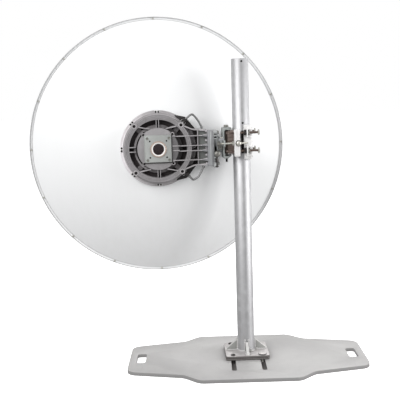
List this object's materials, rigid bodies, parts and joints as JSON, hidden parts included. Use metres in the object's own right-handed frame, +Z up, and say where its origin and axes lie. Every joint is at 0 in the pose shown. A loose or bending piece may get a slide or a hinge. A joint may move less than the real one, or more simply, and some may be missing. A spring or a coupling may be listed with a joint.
{
  "type": "parabolic dish antenna",
  "caption": "Round parabolic dish with a cast hub and waveguide feed, held beside a short mast by an adjustable clamp, on a slotted steel base plate with hand holes.",
  "frame": {"origin": "underside of the base plate, on the mast's axis", "axes": "+Z up along the mast, +X along the base plate's length to the viewer's right, +Y away from the viewer, the way the dish roughly looks"},
  "size_m": [1.1903, 0.6417, 1.2318],
  "materials": {
    "painted_steel": "light grey satin paint",
    "galvanised_steel": "hot-dip galvanised",
    "zinc_fasteners": "bright zinc",
    "cast_aluminium": "grey powder coat on cast metal",
    "machined_aluminium": "milled",
    "white_paint": "white powder coat",
    "copper_guide": "turned copper alloy",
    "feed_plastic": "off-white dielectric"
  },
  "bodies": {
    "stand": {"base_plate": "painted_steel", "foot_spacer": "painted_steel", "foot_plate": "painted_steel", "gusset_front": "galvanised_steel", "gusset_back": "galvanised_steel", "gusset_left": "galvanised_steel", "gusset_right": "galvanised_steel", "foot_bolt_front_left": "zinc_fasteners", "foot_bolt_front_right": "zinc_fasteners", "foot_bolt_back_left": "zinc_fasteners", "foot_bolt_back_right": "zinc_fasteners", "mast_pipe": "galvanised_steel", "clamp_block": "cast_aluminium", "clamp_saddle": "cast_aluminium", "clamp_bolt_upper_near": "zinc_fasteners", "clamp_bolt_upper_far": "zinc_fasteners", "clamp_bolt_lower_near": "zinc_fasteners", "clamp_bolt_lower_far": "zinc_fasteners", "azimuth_pivot_bolt": "zinc_fasteners", "azimuth_adjuster": "zinc_fasteners", "azimuth_swivel_pin": "zinc_fasteners"},
    "azimuth_head": {"azimuth_yoke": "cast_aluminium", "elevation_sector": "cast_aluminium", "elevation_lock_bolt": "zinc_fasteners"},
    "antenna": {"elevation_bracket": "cast_aluminium", "elevation_pivot_bolt": "zinc_fasteners", "elevation_swivel_pin": "zinc_fasteners", "elevation_adjuster": "zinc_fasteners", "hub_casting": "cast_aluminium", "handle_upper": "zinc_fasteners", "handle_lower": "zinc_fasteners", "reflector": "white_paint", "adapter_plate": "machined_aluminium", "waveguide_tube": "copper_guide", "feed_cone": "feed_plastic", "sub_reflector": "machined_aluminium"}
  },
  "joints": [
    {"name": "azimuth_swivel", "type": "hinge", "parent": "stand", "child": "azimuth_head", "pos_m": [-0.05287, -0.00374, 0.772], "axis": [0, 0, 1], "range_deg": [-8, 8]},
    {"name": "elevation_tilt", "type": "hinge", "parent": "azimuth_head", "child": "antenna", "pos_m": [-0.05315, 0.00025, 0.772], "axis": [0.9975, 0.0706, 0], "range_deg": [-10, 10]}
  ]
}
